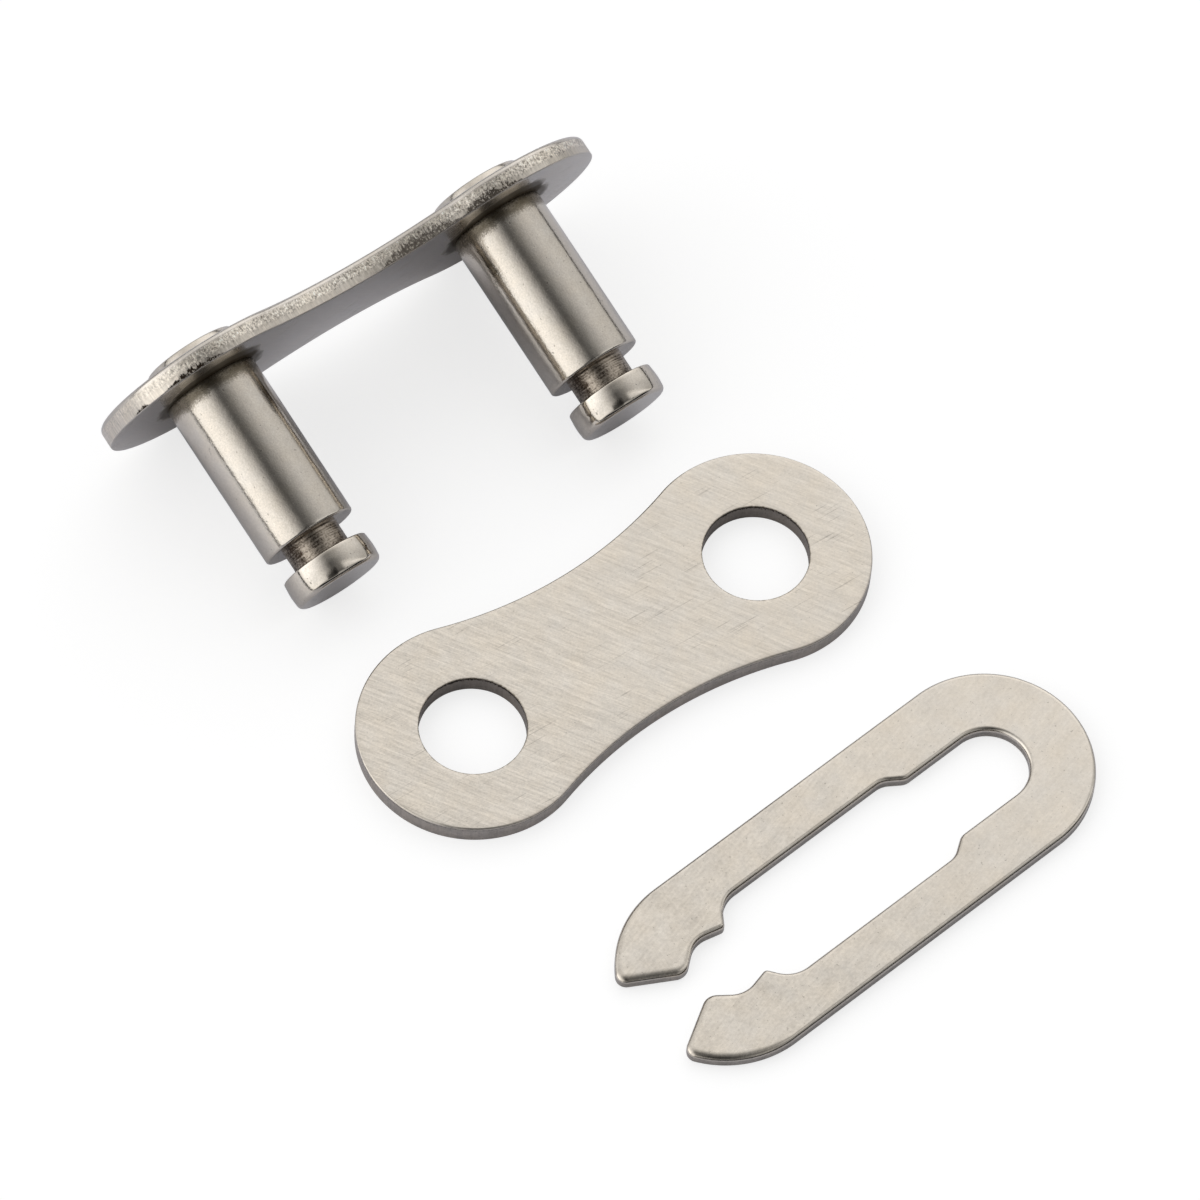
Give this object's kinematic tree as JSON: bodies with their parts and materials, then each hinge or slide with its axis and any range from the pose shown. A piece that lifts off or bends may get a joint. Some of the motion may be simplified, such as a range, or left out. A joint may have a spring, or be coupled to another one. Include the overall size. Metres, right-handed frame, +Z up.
{
  "type": "chain connecting link",
  "caption": "Spring-clip connecting link for a half-inch cycle chain: plate with riveted grooved pins, loose cover plate and spring clip, laid out ready for use.",
  "frame": {"origin": "middle of the cover plate's underside, on the plane that every loose piece lies on", "axes": "+Z up; +X along the cover plate, from one hole to the other; +Y from the cover plate to the pin link"},
  "size_m": [0.0234, 0.0341, 0.0083],
  "materials": {
    "plate_steel": "nickel-plated, satin with fine rolling lines",
    "pin_steel": "nickel-plated over turned steel, bright with faint turning marks",
    "clip_steel": "nickel-plated and tumbled, smooth with soft clouding"
  },
  "bodies": {
    "root": {"pin_plate": "plate_steel", "left_pin": "pin_steel", "right_pin": "pin_steel", "cover_plate": "plate_steel", "spring_clip": "clip_steel"}
  },
  "joints": []
}
